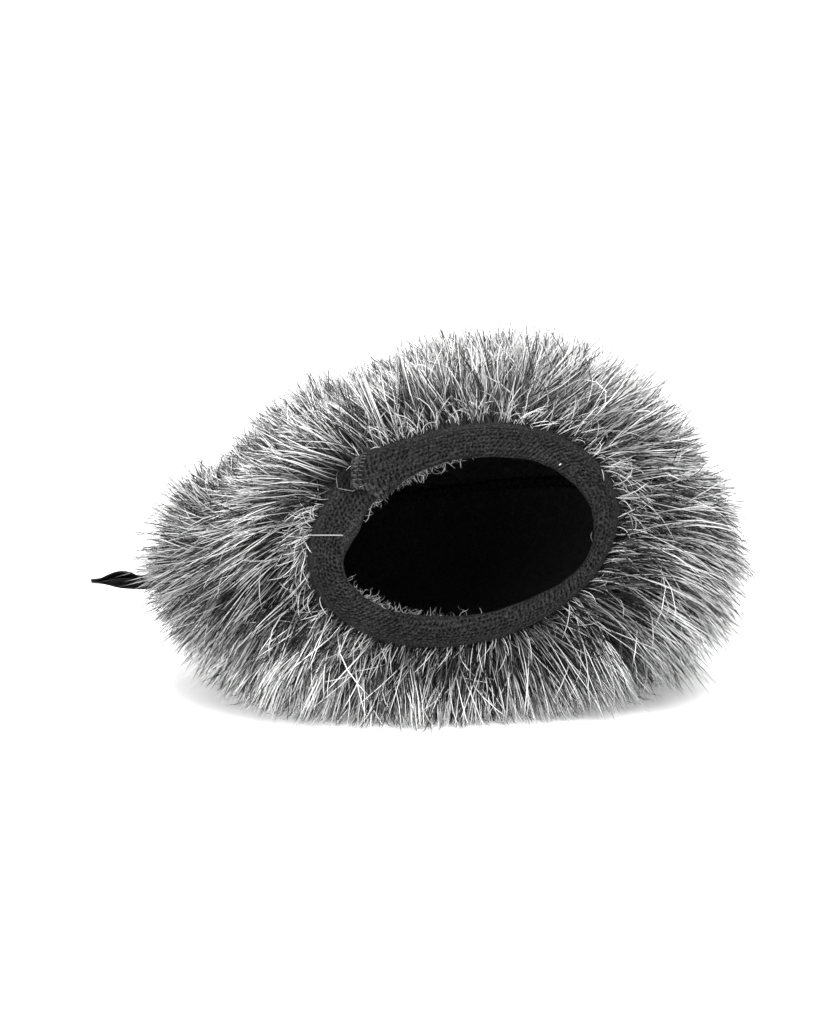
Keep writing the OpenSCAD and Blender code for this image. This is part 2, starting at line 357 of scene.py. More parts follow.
def knit_material():
    shader = Shader("elastic_knit", roughness=0.9)
    shader.surface.inputs["Specular IOR Level"].default_value = 0.08
    fine = shader.ramp(shader.noise(2300), [(0.36, grey(0.22)), (0.66, grey(1.95))])
    patches = shader.ramp(shader.noise(160), [(0.3, grey(0.86)), (0.7, grey(1.1))])
    colour = shader.mix("MULTIPLY", 1.0, shader.attribute("knit"), fine)
    shader.link(shader.mix("MULTIPLY", 1.0, colour, patches), shader.surface.inputs["Base Color"])
    shader.bump(shader.noise(4200), 0.00006)
    return shader.material


def backing_material():
    shader = Shader("backing_knit", roughness=0.95)
    wave = shader.node("ShaderNodeTexWave", scale=420.0, distortion=3.0)
    where = shader.node("ShaderNodeTexCoord")
    shader.link(where.outputs["Object"], wave.inputs["Vector"])
    colour = shader.ramp(wave.outputs["Fac"], [(0.2, grey(0.004)), (0.8, grey(0.013))])
    shader.link(colour, shader.surface.inputs["Base Color"])
    shader.bump(wave.outputs["Fac"], 0.0001)
    return shader.material


def foam_material():
    shader = Shader("black_foam", roughness=1.0)
    cells = shader.node("ShaderNodeTexVoronoi", scale=1500.0, feature="DISTANCE_TO_EDGE")
    where = shader.node("ShaderNodeTexCoord")
    shader.link(where.outputs["Object"], cells.inputs["Vector"])
    colour = shader.ramp(cells.outputs["Distance"], [(0.02, grey(0.03)), (0.3, grey(0.008))])
    shader.link(colour, shader.surface.inputs["Base Color"])
    shader.bump(cells.outputs["Distance"], -0.0003)
    return shader.material


def thread_material(name, value):
    shader = Shader(name, roughness=0.6)
    shader.surface.inputs["Specular IOR Level"].default_value = 0.15
    colour = shader.ramp(shader.noise(2600), [(0.3, grey(value * 0.6)), (0.7, grey(value * 1.3))])
    shader.link(colour, shader.surface.inputs["Base Color"])
    shader.bump(shader.noise(3800), 0.00008)
    return shader.material


def satin_material():
    shader = Shader("black_satin", roughness=0.5)
    shader.surface.inputs["Specular IOR Level"].default_value = 0.08
    weave = shader.node("ShaderNodeTexWave", scale=900.0, distortion=1.0)
    where = shader.node("ShaderNodeTexCoord")
    shader.link(where.outputs["Object"], weave.inputs["Vector"])
    base = shader.ramp(weave.outputs["Fac"], [(0.2, grey(0.55)), (0.8, grey(1.25))])
    colour = shader.mix("MULTIPLY", 1.0, shader.attribute("ribbon"), base)
    shader.link(colour, shader.surface.inputs["Base Color"])
    shader.bump(weave.outputs["Fac"], 0.00003)
    return shader.material


PILE = fibre_material()
KNIT = knit_material()
BACKING = backing_material()
FOAM = foam_material()
BLACK_THREAD = thread_material("black_thread", 0.008)
GREY_THREAD = thread_material("grey_thread", 0.075)
PALE_THREAD = thread_material("pale_thread", 0.15)
SATIN = satin_material()


def set_material(obj, material):
    obj.data.materials.clear()
    obj.data.materials.append(material)
    return obj


# ---- Finishing the pieces ----

# Heights above the bag's axis, from the seam up into the upper panel; across_seam works out their
# two points and uses them no further
STRETCH_FROM = 0.0
STRETCH_TO = 26.0


def across_seam(obj):
    start, end = (place(0.0, 0.0, z) * MM for z in (STRETCH_FROM, STRETCH_TO))
    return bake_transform(obj)


def finish_piece(obj, material, nodes):
    set_material(obj, material)
    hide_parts(*nodes)
    return obj


# ---- The long pile ----

GUARD_HAIRS = 35000
UNDERCOAT = 62000
EDGE_CURLS = 1700
TUFTS = 3600
FIBRE_POINTS = 6
FIBRES_PER_PIECE = 7000
GUARD_RADII = (0.1, 0.16)
UNDERCOAT_RADIUS = 0.095
CURL_RADIUS = 0.11
DARKEST_SHADE = 0.006
# Of the guard hairs, those up to the first share are pale, and those from the second are black
PALE_UP_TO = 0.54
BLACK_FROM = 0.76
# How near the binding's oval and how deep in it a fibre may not stray
MOUTH_MARGIN = 3
MOUTH_DEPTH = 20
PILE_LENGTH = 20.5
FUR_START = LEG_END - 0.5
CLEAR_OF_FLOOR = 0.35
FLOOR_BAND = 1.25
REACH_BAND = 4
FUR_FRONT_Y = BODY_Y - 15.2
FUR_BACK_Y = BODY_Y + BAG_DEPTH + 28.6


def spread_roots(count, first_s, last_s):
    """Roots spread evenly over the fabric's face, as meridian and angle."""
    s_edges = np.linspace(first_s, last_s, 161)
    v_edges = np.linspace(0, TAU, 241)
    ds, dv = s_edges[1] - s_edges[0], v_edges[1] - v_edges[0]
    s, v = np.meshgrid(s_edges[1:] - ds / 2, v_edges[1:] - dv / 2, indexing="ij")
    down = surface(s + ds / 2, v) - surface(s - ds / 2, v)
    round_it = surface(s, v + dv / 2) - surface(s, v - dv / 2)
    area = np.linalg.norm(np.cross(down, round_it), axis=-1).ravel()
    cell = rng.choice(area.size, count, p=area / area.sum())
    jitter = rng.random((2, count)) - 0.5
    return s.ravel()[cell] + jitter[0] * ds, v.ravel()[cell] + jitter[1] * dv


def near(v, centre, spread):
    """1 at an angle round the bag and 0 away from it, both in degrees."""
    away = (v - math.radians(centre) + math.pi) % TAU - math.pi
    return np.exp(-((away / math.radians(spread)) ** 2))


def lean_angle(s, v):
    """How far the pile leans from the fabric's normal towards the closed end."""
    lean = 68 - 28 * smooth((s - LEG_END) / 34) + 8 * smooth((s - 80) / 40)
    flattened = 24 * near(v, 138, 36) * smooth((s - 12) / 25)
    forward = near(v, -84, 66) * (26 + 60 * smooth((s - LEG_END - 1) / 8))
    forward = forward * smooth((LEG_END + 32 - s) / 16)
    standing = 18 * near(v, -25, 26) + 14 * near(v, 184, 18) + 16 * near(v, 212, 18)
    standing = standing * smooth((s - 12) / 20)
    return np.radians(lean + flattened - forward - standing)


def pile_length(s, v):
    """The pile has been pressed down at the upper left, and hangs longest at the lower right."""
    pressed = 0.28 * near(v, 101, 14) + 0.38 * near(v, 143, 17) + 0.38 * near(v, 11, 13)
    pressed = pressed + 0.16 * near(v, 200, 12) + 0.14 * near(v, 181, 6)
    hanging = 0.35 * near(v, -29, 24) + 0.16 * near(v, -90, 40) + 0.18 * near(v, 176, 11)
    hanging = hanging + 0.22 * near(v, -57, 15) + 0.17 * near(v, 54, 20)
    return PILE_LENGTH * (1 - pressed * smooth((s - 8) / 20) + hanging)


def brushed(s, v):
    """A slow sideways swirl from handling: downwards at the left, and level at the lower right."""
    swirl = 0.2 * np.sin(3 * v + 0.09 * s + 0.4) + 0.16 * np.sin(7 * v - 0.12 * s + 2)
    swirl = swirl + 0.1 * np.sin(13 * v + 0.2 * s)
    swirl = swirl - 0.5 * near(v, -36, 24) * smooth((58 - s) / 24)
    return swirl - 0.55 * near(v, 168, 24) * smooth((52 - s) / 24)


def painted_light(v):
    """Painted light on the pile: darker at the left, paler at the upper right and lower left."""
    return 1 - 0.42 * near(v, 175, 24) + 0.36 * near(v, 40, 26) + 0.56 * near(v, 222, 20)


def grow(s, v, length, lean, wander, curl):
    """Curved centrelines of fibres rooted at s, v, as (fibres, points, 3)."""
    root, normal, along = axes_at(s, v)
    count = len(s)
    sideways = np.cross(along, normal) * brushed(s, v)[:, None]
    heading = normal * np.cos(lean)[:, None] + along * np.sin(lean)[:, None] + sideways
    heading = unit(heading + rng.normal(0, 1, (count, 3)) * np.reshape(wander, (-1, 1)))
    sag = (0.22 + 0.62 * smooth((0.55 - normal[:, 2]) / 0.9)) * (1 - 0.5 * near(v, 186, 20))
    bend = rng.normal(0, 1, (count, 3)) * np.reshape(curl, (-1, 1)) + along * 0.12
    bend[:, 2] -= sag
    points = [root - normal * 0.4]
    step = (length / (FIBRE_POINTS - 1))[:, None]
    for k in range(FIBRE_POINTS - 1):
        share = (k + 0.5) / (FIBRE_POINTS - 1)
        points.append(points[-1] + step * unit(heading + bend * share))
    return np.stack(points, axis=1)


def held_above(values, floor, band):
    """Values that would pass under a floor are eased into the band above it."""
    under = np.minimum(values - floor - band, 0)
    return np.where(under < 0, floor + band * np.exp(under / band), values)


def press_on_floor(paths):
    """Fibres that would pass through the floor lie along it, and none reach far out in y."""
    paths[..., 2] = held_above(paths[..., 2], CLEAR_OF_FLOOR, FLOOR_BAND)
    paths[..., 1] = held_above(paths[..., 1], FUR_FRONT_Y, REACH_BAND)
    paths[..., 1] = -held_above(-paths[..., 1], -FUR_BACK_Y, REACH_BAND)
    return paths


def over_mouth(paths):
    """Which fibres have strayed over the inner part of the binding or the opening."""
    x, y, z = in_own_frame(paths, MOUTH_LIFT)
    w, h = FOLD_HALF_W + MOUTH_MARGIN, FOLD_HALF_H + MOUTH_MARGIN
    inside = (x / w) ** 2 + (z / h) ** 2 < 1
    return (inside & (y < MOUTH_DEPTH)).any(axis=1)


def in_bag(paths):
    """Which fibres have strayed through the liner into the bag."""
    x, y, z = in_own_frame(paths)
    share = 1 - smooth(y / WIDEST_Y)
    z = z - MOUTH_LIFT * share
    turn = MOUTH_TWIST * share
    x, z = x * np.cos(turn) + z * np.sin(turn), z * np.cos(turn) - x * np.sin(turn)
    w, h = (np.interp(y, MERIDIAN[3], MERIDIAN[row]) + LINER_INSIDE for row in (1, 2))
    inside = (x / np.maximum(w, 1)) ** 2 + (z / np.maximum(h, 1)) ** 2 < 1
    return (inside & (y > 0) & (y < BAG_DEPTH + LINER_INSIDE)).any(axis=1)


def grow_pile():
    """All fibres as meridian, angle, centrelines, shades along them and radii."""
    tuft_s, tuft_v = spread_roots(TUFTS, FUR_START, END_S - 1)
    tuft_length = pile_length(tuft_s, tuft_v) * rng.normal(1.0, 0.1, TUFTS)
    tufts = grow(tuft_s, tuft_v, tuft_length, lean_angle(tuft_s, tuft_v), 0.28, 0.3)
    tuft_shade = rng.normal(1.0, 0.2, TUFTS)
    tree = KDTree(TUFTS)
    for i, point in enumerate(tufts[:, 0]):
        tree.insert(point, i)
    tree.balance()

    count = GUARD_HAIRS + UNDERCOAT
    under = np.arange(count) >= GUARD_HAIRS
    s, v = spread_roots(count, FUR_START, END_S - 0.5)
    length = pile_length(s, v) * rng.normal(1.0, 0.09, count)
    length *= np.where(under, rng.uniform(0.55, 0.85, count), 1)
    stray = rng.random(count) < 0.24 + 0.26 * near(v, 205, 42) * smooth((42 - s) / 16)
    wander = np.where(stray, 0.36, 0.15)
    curl = np.where(stray, 0.6, 0.26)
    own = grow(s, v, length, lean_angle(s, v) + rng.normal(0, 0.1, count), wander, curl)
    nearest = np.array([tree.find(point)[1] for point in own[:, 0]])
    leader = tufts[nearest]
    share = np.linspace(0, 1, FIBRE_POINTS)[None, :, None]
    scale = (length / tuft_length[nearest])[:, None, None]
    gathered = own[:, :1] + (leader - leader[:, :1]) * scale
    gathered -= (own[:, :1] - leader[:, :1]) * 0.34 * share**1.2
    hold = np.where(stray, 0.05, 0.62)[:, None, None] * np.minimum(1, share * 2)
    paths = own * (1 - hold) + gathered * hold

    kind = rng.random(count)
    light, mid = rng.uniform(0.5, 0.9, count), rng.uniform(0.06, 0.25, count)
    shade = np.where(kind < PALE_UP_TO, light, mid)
    shade = np.where(kind > BLACK_FROM, rng.uniform(DARKEST_SHADE, 0.025, count), shade)
    # A share of the undercoat is pale everywhere, and at the upper right and lower left it is
    # raised as painted light.
    pale = 0.16 + 0.5 * near(v, 52, 36) + 0.34 * near(v, 222, 20)
    deep = np.where(kind < pale, shade * 0.4, rng.uniform(0.004, 0.025, count))
    # The shades take painted light and shade round the bag, and each tuft's own random shade.
    shade = np.where(under, deep, shade) * painted_light(v) * np.clip(tuft_shade[nearest], 0.45, 1.5)
    shade = np.clip(shade, DARKEST_SHADE, 0.95)
    thickness = np.where(under, UNDERCOAT_RADIUS, rng.uniform(*GUARD_RADII, count))
    s, v, paths, shade, thickness = (
        np.concatenate(pair) for pair in zip((s, v, paths, shade, thickness), grow_edge_curls())
    )
    # Each fibre but the edge curls darkens towards its root: partly the fibres' own dark bases,
    # partly painted shade deep in the pile.
    roots = 0.06 + 0.94 * smooth(np.linspace(-0.06, 1, FIBRE_POINTS) / 0.62)
    bare = np.arange(len(s)) >= count
    along = np.where(bare[:, None], 1.0, roots[None])
    radius = thickness[:, None] * np.array([0.9, 1, 1, 0.95, 0.8, 0.3])
    kept = ~(over_mouth(paths) | in_bag(paths))
    paths = press_on_floor(paths[kept])
    return s[kept], v[kept] % TAU, paths, (shade[:, None] * along)[kept], radius[kept]


def grow_edge_curls():
    """Short tangled fibres that stand round the binding and lie over its outer edge."""
    s, v = spread_roots(EDGE_CURLS, LEG_END - 0.4, LEG_END + 3.5)
    beside_lap = near(v, 131, 9) > 0.3
    v = np.where(beside_lap, v + 0.5, v)
    lean = np.radians(np.clip(rng.normal(55, 16, EDGE_CURLS), 25, 85))
    length = rng.uniform(4, 11, EDGE_CURLS)
    paths = grow(s, v, length, lean, 0.3, 0.8)
    shade = np.where(rng.random(EDGE_CURLS) < 0.7, rng.uniform(0.3, 0.8, EDGE_CURLS), 0.08)
    return s, v, paths, shade, np.full(EDGE_CURLS, CURL_RADIUS)


def ring_shade(shade, sides):
    """Shades of a pointed tube's points, from one shade for each ring."""
    rings = np.repeat(shade[:, :-1], sides, axis=1)
    return np.concatenate([rings, shade[:, -1:]], axis=1).ravel()


def fur_piece(name, node, chosen, paths, shade, radius):
    cells = math.ceil(math.sqrt(len(chosen)))
    obj = tube_mesh(name, paths[chosen], radius[chosen], pointed=True, cells=cells)
    paint(obj, "fibre", ring_shade(shade[chosen], 3))
    return finish_piece(obj, PILE, [node])


def make_pile():
    s, v, paths, shade, radius = grow_pile()
    from_tag = paths[:, 0] - place(-BAG_HALF_W, TAG_Y, 0.0)
    level = (np.abs(from_tag[:, 1]) < TAG_W) & (np.abs(from_tag @ BAG_UP) < 6)
    by_tag = level & (from_tag[:, 0] < 12)
    for side, node in ((v < math.pi, "fur_pile_upper"), (v >= math.pi, "fur_pile_lower")):
        members = np.flatnonzero(side & ~by_tag)
        members = members[np.argsort(v[members], kind="stable")]
        count = math.ceil(len(members) / FIBRES_PER_PIECE)
        for i, chosen in enumerate(np.array_split(members, count)):
            across_seam(fur_piece(f"{node}_{i + 1}", node, chosen, paths, shade, radius))

    # The pile round the ribbon tag is a piece of its own; the two points at the tag's flip are
    # worked out and used no further
    chosen = np.flatnonzero(by_tag)
    tuft = fur_piece("fur_pile_by_tag", "fur_pile_lower", chosen, paths, shade, radius)
    start, end = (place(-BAG_HALF_W - reach, TAG_Y, 0.0) * MM for reach in (2, PILE_T + 2))
    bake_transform(tuft)


# ---- The knitted backing and the foam liner ----


def layer_grid(outer, inner, start_s, rows, cols, ripple=0.0, clear=1):
    """A closed layer of the bag: its outside from mouth to closed end, and its inside back."""
    share = np.linspace(0, 1, rows)[:, None] ** 0.9
    v = np.arange(cols)[None] * TAU / cols
    first = start_s + clear * np.maximum(0, fold_shift(v))
    s = first + (END_S - 0.4 - first) * share
    v = v + 0 * s
    wave = np.sin(v * 7 + s * 0.21) * np.sin(s * 0.17 + 1) + 0.5 * np.sin(v * 17 - s * 0.4)
    wave = ripple * wave
    return np.concatenate([surface(s, v, outer), surface(s, v, inner + wave)[::-1]])


def make_backing():
    grid = layer_grid(-0.05, -BACKING_T, 0.6, 90, 200)
    obj = grid_mesh("fur_backing", grid, wrap_rows=True, wrap_cols=True, flip=True)
    finish_piece(obj, BACKING, ["fur_backing_lower", "fur_backing_upper"])
    return across_seam(obj)


def make_liner():
    # The tape's inner leg reaches in by twice the shift of its fold, and the liner starts behind it
    grid = layer_grid(LINER_FACE, LINER_INSIDE, LEG_END + 0.8, 90, 200, ripple=0.35, clear=2)
    obj = grid_mesh("foam_liner", grid, wrap_rows=True, wrap_cols=True, flip=True)
    finish_piece(obj, FOAM, ["foam_liner_lower", "foam_liner_upper"])
    return across_seam(obj)


# ---- The seam inside the bag ----

SEAM_START_S = 12.0


def seam_path(count, d):
    """Points along the inside seam, from one side of the mouth round to the other."""
    reach = END_S - 0.6 - SEAM_START_S
    t = np.linspace(-1, 1, count)
    s = SEAM_START_S + reach * (1 - np.abs(t))
    return surface(s, np.where(t < 0, 0.0, math.pi), d), s, t


def make_seam():
    """The two turned-in edges, pressed together into one ridge."""
    profile = [(0.05, 1.1), (-0.8, 1.15), (-1.8, 1.1), (-ALLOWANCE_W, 0.7)]
    profile = profile + [(d, -z) for d, z in reversed(profile)]
    rows = []
    for d, z in profile:
        points, s, t = seam_path(260, LINER_INSIDE - LAYER_GAP + d)
        rows.append(points + BAG_UP * (z + 0.12 * np.sin(s * 1.9))[:, None])
    grid = np.stack(rows)
    obj = grid_mesh("seam_allowance", grid, wrap_rows=True)
    finish_piece(obj, BACKING, ["seam_allowance_lower", "seam_allowance_upper"])
    return across_seam(obj)


def make_seam_thread():
    """An overlock thread that wraps the ridge in slanted turns."""
    turns = 120
    per_turn = 12
    t = np.linspace(0, 1, turns * per_turn)
    points, s, side = seam_path(len(t), LINER_INSIDE - LAYER_GAP - ALLOWANCE_W / 2)
    inward, _, _ = seam_path(len(t), LINER_INSIDE - LAYER_GAP - ALLOWANCE_W / 2 - 1)
    inward = unit(inward - points)
    angle = t * turns * TAU
    path = points + inward * (np.cos(angle) * 1.5 + 0.25)[:, None]
    path = path + BAG_UP * (np.sin(angle) * 1.4)[:, None]
    obj = tube_mesh("seam_thread", path[None], 0.2, sides=6)
    finish_piece(obj, BLACK_THREAD, ["seam_bobbin_thread", "seam_needle_thread"])
    return across_seam(obj)


# ---- The elastic binding ----

KNIT_PITCH = 1.2
KNIT_ROW = 0.88
HOLE_DEPTH = 0.32
TAPE_PUFF = 1.3
TAPE_LEG = LEG_END - 0.2
TAPE_MIDDLE = -BACKING_T / 2
TAPE_SHADE = 0.0178
FOLD_ARC = math.pi * FOLD_R

# The tape's ends are lapped at the upper left. The lower one runs straight across under the upper
# one, whose end lies at these angles, in degrees, at ten distances from the tape's outer edge.
LIP_Q = TAPE_LEG + FOLD_ARC / 2
LAP_Q = (0, 1.15, 1.9, 2.55, 3.1, 4.0, 4.8, 5.2, 6.2, LIP_Q)
UPPER_END = (121.5, 124.2, 126.3, 128, 129.8, 132.3, 131.8, 129.8, 129, 128)
LOWER_END = 117.5


def fold_shift(v):
    """How far the pull of the elastic moves the fold from its oval, outwards positive."""
    outwards = 3.4 * near(v, -34, 34) + 0.9 * near(v, -85, 30)
    return outwards - 1.9 * near(v, 154, 17) + 0.4 * near(v, 30, 25)


def edge_flare(v):
    """How far the tape's two lapped ends stand out past the binding's outer edge."""
    v = np.degrees(v)
    upper = smooth((v - 360 - 97) / 28)
    lower = smooth((142 - v) / 16)
    return 3.7 * np.maximum(upper, lower)


def on_tape(q, v, height=0.0):
    """Points on the folded tape, q across it from its outer edge and height above its face."""
    shift = fold_shift(v)
    leg = TAPE_LEG - shift
    angle = math.pi / 2 + np.clip((q - leg) / FOLD_R, 0, math.pi)
    front = q < leg
    back = q > leg + FOLD_ARC
    flare = edge_flare(v) * np.clip(1 - q / leg, 0, 1)
    p = np.where(front, TAPE_LEG - q + flare, shift + FOLD_R * np.cos(angle))
    p = np.where(back, shift + q - leg - FOLD_ARC, p)
    d = TAPE_MIDDLE + FOLD_R * np.sin(angle)
    crest = np.clip(q / (leg + FOLD_ARC * 0.55), 0, 1)
    puff = TAPE_PUFF * np.sin(np.pi * crest) ** 0.75 * np.minimum(1, leg / TAPE_LEG)
    tuck = 0.7 * np.clip(1 - q / 1.1, 0, 1) ** 2
    face = surface(p, v, d)
    outward = unit(face - surface(np.maximum(p, shift), v, TAPE_MIDDLE))
    return face + outward * (puff - tuck + height)[..., None]


def in_tape(v, rows):
    """The tape's inner face, round the raw edge, from the inner leg back to the outer one."""
    shift = fold_shift(v)
    turn = np.linspace(1.5 * math.pi, 0.5 * math.pi, rows)[:, None]
    r = SLOT_R + 0.12
    flat = np.full_like(v[:1], TAPE_MIDDLE)
    p = [shift[:1] * 0 + TAPE_LEG] + [shift + r * np.cos(turn)] + [shift[:1] * 0 + TAPE_LEG]
    d = [flat - r] + [TAPE_MIDDLE + r * np.sin(turn) + 0 * v[:1]] + [flat + r]
    return surface(np.concatenate(p), v[:1], np.concatenate(d))


def ring_length(v):
    """Distance round the middle of the band, as a function of the angle."""
    fine = np.linspace(0, 2 * TAU, 1441)
    x = (FOLD_HALF_W + 3) * np.cos(fine)
    z = (FOLD_HALF_H + 3) * np.sin(fine)
    total = np.concatenate([[0], np.cumsum(np.hypot(np.diff(x), np.diff(z)))])
    return np.interp(v, fine, total)


def knit_holes(along, q):
    """1 in the small slanted gaps between the knit's chains, and 0 on the yarn."""
    pulled = 0.3 * np.sin(along * 0.31 + q) + 0.22 * np.sin(along * 0.83 - q * 1.7 + 1)
    row = (q + 0.3 * pulled) / KNIT_ROW
    index = np.floor(row)
    column = (along + pulled) / KNIT_PITCH + 0.5 * index
    cell = np.floor(column)
    uneven = np.sin(cell * 12.9898 + index * 78.233) * 43758.5453
    uneven = uneven - np.floor(uneven)
    other = np.sin(cell * 39.425 + index * 17.717) * 24634.6345
    other = other - np.floor(other)
    inside = column - cell - 0.5 + 0.3 * (uneven - 0.5)
    across = row - index - 0.5 + 0.35 * (other - 0.5)
    slant = across - (0.55 + 0.5 * np.sin(along * 0.13)) * inside
    gap = np.exp(-((inside / 0.33) ** 2) - (slant / 0.27) ** 2) * (0.45 + 0.9 * other)
    return np.minimum(gap * 1.25, 1) * smooth((q - 1.3) / 1.2) * smooth((LIP_Q - 0.2 - q) / 1.2)


def tape_ends(q):
    """Angles of the tape's two ends at each distance across it."""
    end = np.radians(np.interp(q, LAP_Q, UPPER_END)) + TAU
    return np.full_like(end, math.radians(LOWER_END)), end


def tape_angles(q, cols):
    start, end = tape_ends(q)
    return start[:, None] + (end - start)[:, None] * np.linspace(0, 1, cols)[None]


def lap_height(v, end):
    """The upper end rises over the lower one and has a thicker, turned-in hem."""
    left = np.degrees(end - v)
    rise = 0.95 * smooth((17 - left) / 12)
    hem = 0.3 * smooth((5.2 - left) / 1.2)
    edge = 0.5 * np.clip(1 - left / 0.7, 0, 1) ** 2
    return rise + hem - edge


def tape_height(q, v, start, end):
    """The tape's puffs and ripples, and how its two ends lie at the lap."""
    uneven = 0.28 * np.sin(v * 3 + 0.6) + 0.16 * np.sin(v * 8 + 2 + q * 0.3)
    uneven = uneven + 0.07 * np.sin(v * 21 - q)
    sunk = 0.7 * lapped_under(q, v, start) * smooth((q + 1) / 2)
    return uneven * smooth(q / 4) + lap_height(v, end) - sunk


def lapped_under(q, v, start):
    """1 where the tape's lower end lies in the shade beside the upper one's hem."""
    return smooth((21 - np.degrees(v - start)) / 7) * smooth((7 - q) / 4)


def make_binding():
    """One tape, folded over the raw edge and lapped where its ends meet."""
    cols = 1180
    front_rows = np.linspace(0, LIP_Q + 1.5, 62)
    q = np.concatenate([front_rows, np.linspace(LIP_Q + 2.2, 2 * TAPE_LEG + FOLD_ARC, 10)])
    v = tape_angles(q, cols)
    start, end = (a[:, None] for a in tape_ends(q))
    q = q[:, None]
    holes = knit_holes(ring_length(v), q)
    rib = 0.04 * np.cos(TAU * q / KNIT_ROW) * smooth((q - 1) / 1.5)
    height = rib - HOLE_DEPTH * holes + tape_height(q, v, start, end)
    outer = on_tape(q, v, height)
    inner = in_tape(v[-1:], 6)
    obj = grid_mesh("elastic_binding", np.concatenate([outer, inner]), wrap_rows=True)
    close_ends(obj)
    hem = smooth((5.2 - np.degrees(end - v)) / 1.2)
    edge_wear = np.exp(-(((q - 0.5) / 0.5) ** 2)) * 0.15
    # The knit's gaps are painted near black as shade in them, and the lower end beside the hem is
    # painted darker as shade.
    shade = TAPE_SHADE * (1 - 0.98 * holes) * (1 + 0.8 * hem + edge_wear)
    shade *= 1 - 0.55 * lapped_under(q, v, start)
    paint(obj, "knit", np.concatenate([shade, np.full(inner.shape[:2], 0.015)]).ravel())
    nodes = ["elastic_binding_lower", "elastic_binding_upper", "binding_end_lap"]
    finish_piece(obj, KNIT, nodes)
    return across_seam(obj)


def arched(starts, ends, rise, count=7):
    """Stitches that rise out of the cloth and go back in, from rows of two points."""
    t = np.linspace(0, 1, count)[None, :, None]
    straight = starts[:, None] * (1 - t) + ends[:, None] * t
    return straight + rise[:, None] * (np.sin(np.pi * t) - 0.35)


def make_lap_stitches():
    """Two short columns of stitches down the hem of the tape's upper end."""
    per_column = 8
    q = np.tile(np.linspace(0.4, 3.8, per_column), 2)
    in_hem = np.radians(np.repeat([1.5, 4.4], per_column))
    start, end = tape_ends(q)
    base = end - in_hem
    height = tape_height(q, base, start, end)
    a = on_tape(q, base, height + 0.05)
    b = on_tape(q + 0.4, base - math.radians(0.9), height + 0.05)
    rise = (on_tape(q, base, height + 0.25) - a) * 1.2
    obj = tube_mesh("hem_stitches", arched(a, b, rise), 0.12, sides=6)
    finish_piece(obj, GREY_THREAD, ["lap_bartack"])
    return across_seam(obj)


def make_end_thread():
    """The pale thread end that lies on the lower tape, in the corner beside the lap."""
    knots = np.linspace(0, 1, 6)
    t = np.linspace(0, 1, 40)
    q = np.interp(t, knots, (0.0, 0.6, 1.2, 2.8, 4.2, 5.0))
    v = np.radians(np.interp(t, knots, (128.8, 132.5, 135.8, 134.5, 133.0, 128.0)))
    start, end = tape_ends(q)
    height = 0.15 + tape_height(q, v, start, end) + 1.3 * smooth((t - 0.8) / 0.1)
    obj = tube_mesh("end_thread", on_tape(q, v, height)[None], 0.11, sides=6)
    set_material(obj, PALE_THREAD)
    return across_seam(obj)


def make_binding_stitches():
    """The dark lockstitch near the binding's outer edge, on both of its faces."""
    count = 110
    paths = []
    for q in (1.3, 2 * TAPE_LEG + FOLD_ARC - 1.3):
        start, end = tape_ends(np.full(count, q))
        base = start + (end - start) * np.linspace(0.01, 0.97, count)
        step = (end - start) / count
        lift = lap_height(base, end)
        a = on_tape(np.full(count, q), base, lift)
        b = on_tape(np.full(count, q), base + step * 0.72, lap_height(base + step * 0.72, end))
        rise = on_tape(np.full(count, q), base, lift + 0.22) - a
        paths.append(arched(a, b, rise))
    obj = tube_mesh("binding_stitches", np.concatenate(paths), 0.14, sides=6)
    nodes = ["binding_stitches_lower", "binding_stitches_upper"]
    finish_piece(obj, BLACK_THREAD, nodes)
    return across_seam(obj)


# ---- The ribbon tag ----

RIBBON_SHADE = 0.011


